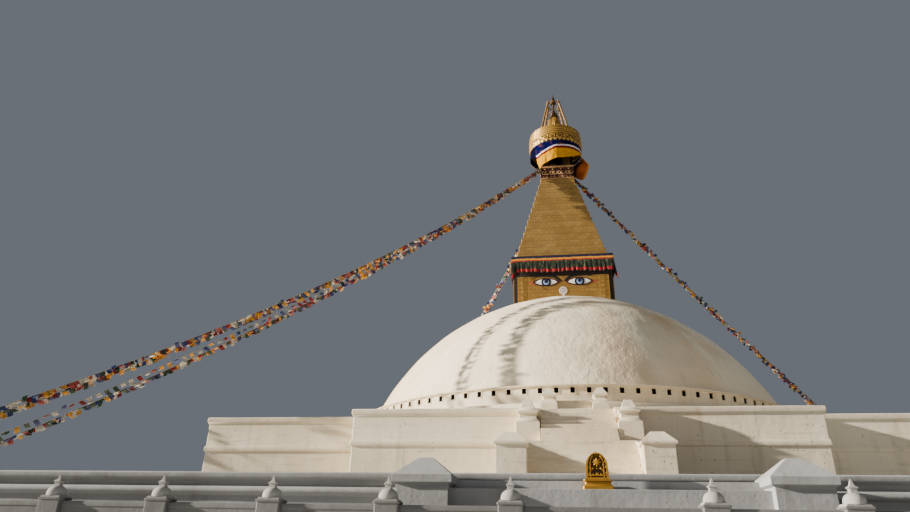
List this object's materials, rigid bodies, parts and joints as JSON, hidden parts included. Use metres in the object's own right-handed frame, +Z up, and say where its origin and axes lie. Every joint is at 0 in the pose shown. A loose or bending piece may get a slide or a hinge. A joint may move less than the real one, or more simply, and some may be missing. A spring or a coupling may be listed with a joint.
{
  "type": "great stupa, scale model at 1:10",
  "caption": "Whitewashed dome on a ring of niches and three stepped terraces with stairs, under a gilt box with painted eyes, a stepped spire, an umbrella and strings of flags.",
  "frame": {"origin": "on the ground under the spire, at the centre of the lowest terrace", "axes": "+Z up, the front stair with the gilt stele faces -Y, +X to the right of someone facing the front"},
  "size_m": [8.2, 8.2, 4.384],
  "materials": {
    "whitewash": "limewash with saffron stains",
    "grey_whitewash": "weathered limewash",
    "gilt_metal": "weathered gilding on sheet copper",
    "dark_gilt_metal": "dull gilding",
    "valance_cloth": "pleated cloth with yellow, orange and red bands",
    "umbrella_cloth": "satin cloth with navy, white and red bands",
    "rope": "twisted fibre"
  },
  "bodies": {
    "root": {"lower_terrace": "grey_whitewash", "middle_terrace": "grey_whitewash", "upper_terrace": "whitewash", "parapet_front": "grey_whitewash", "lower_stair_front": "grey_whitewash", "middle_stair_front": "whitewash", "upper_stair_front": "whitewash", "valance_front": "valance_cloth", "parapet_right": "grey_whitewash", "lower_stair_right": "grey_whitewash", "middle_stair_right": "whitewash", "upper_stair_right": "whitewash", "valance_right": "valance_cloth", "parapet_back": "grey_whitewash", "lower_stair_back": "grey_whitewash", "middle_stair_back": "whitewash", "upper_stair_back": "whitewash", "valance_back": "valance_cloth", "parapet_left": "grey_whitewash", "lower_stair_left": "grey_whitewash", "middle_stair_left": "whitewash", "upper_stair_left": "whitewash", "valance_left": "valance_cloth", "gilt_stele": "gilt_metal", "drum_segment_01": "whitewash", "drum_segment_02": "whitewash", "drum_segment_03": "whitewash", "drum_segment_04": "whitewash", "drum_segment_05": "whitewash", "drum_segment_06": "whitewash", "drum_segment_07": "whitewash", "drum_segment_08": "whitewash", "drum_segment_09": "whitewash", "drum_segment_10": "whitewash", "drum_segment_11": "whitewash", "drum_segment_12": "whitewash", "dome": "whitewash", "harmika": "gilt_metal", "cornice": "dark_gilt_metal", "spire": "gilt_metal", "gallery": "dark_gilt_metal", "umbrella": "gilt_metal", "umbrella_cloth": "umbrella_cloth", "cloth_flap": "umbrella_cloth", "finial_mound": "gilt_metal", "finial": "dark_gilt_metal", "strut_frame": "gilt_metal", "rope_front_left_1": "rope", "rope_front_left_2": "rope", "rope_front_left_3": "rope", "rope_front_left_4": "rope", "rope_right_1": "rope", "rope_right_2": "rope", "rope_back_left_1": "rope", "rope_back_left_2": "rope"}
  },
  "joints": []
}
